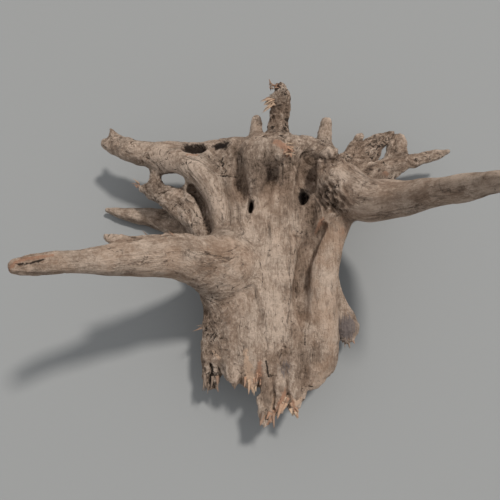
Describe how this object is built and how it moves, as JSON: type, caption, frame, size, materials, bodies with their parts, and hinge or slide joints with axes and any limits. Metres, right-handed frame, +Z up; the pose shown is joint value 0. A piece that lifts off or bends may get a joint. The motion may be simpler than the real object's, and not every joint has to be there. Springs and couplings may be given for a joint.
{
  "type": "dry root",
  "caption": "Weathered, broken tree root crown lying on its side, with a fluted stem, horn-like side roots and broken stubs, for display.",
  "frame": {"origin": "on the ground, under the middle of the root's bounding box", "axes": "+Z up from the ground the root lies on, +X along its widest span from the left horn to the right-hand roots, +Y from the broken stem lip to the crown"},
  "size_m": [0.7518, 0.6161, 0.4319],
  "materials": {
    "weathered_wood": "dry, matt, weathered grain with cracks and pits"
  },
  "bodies": {
    "root": {"dry_root": "weathered_wood"}
  },
  "joints": []
}
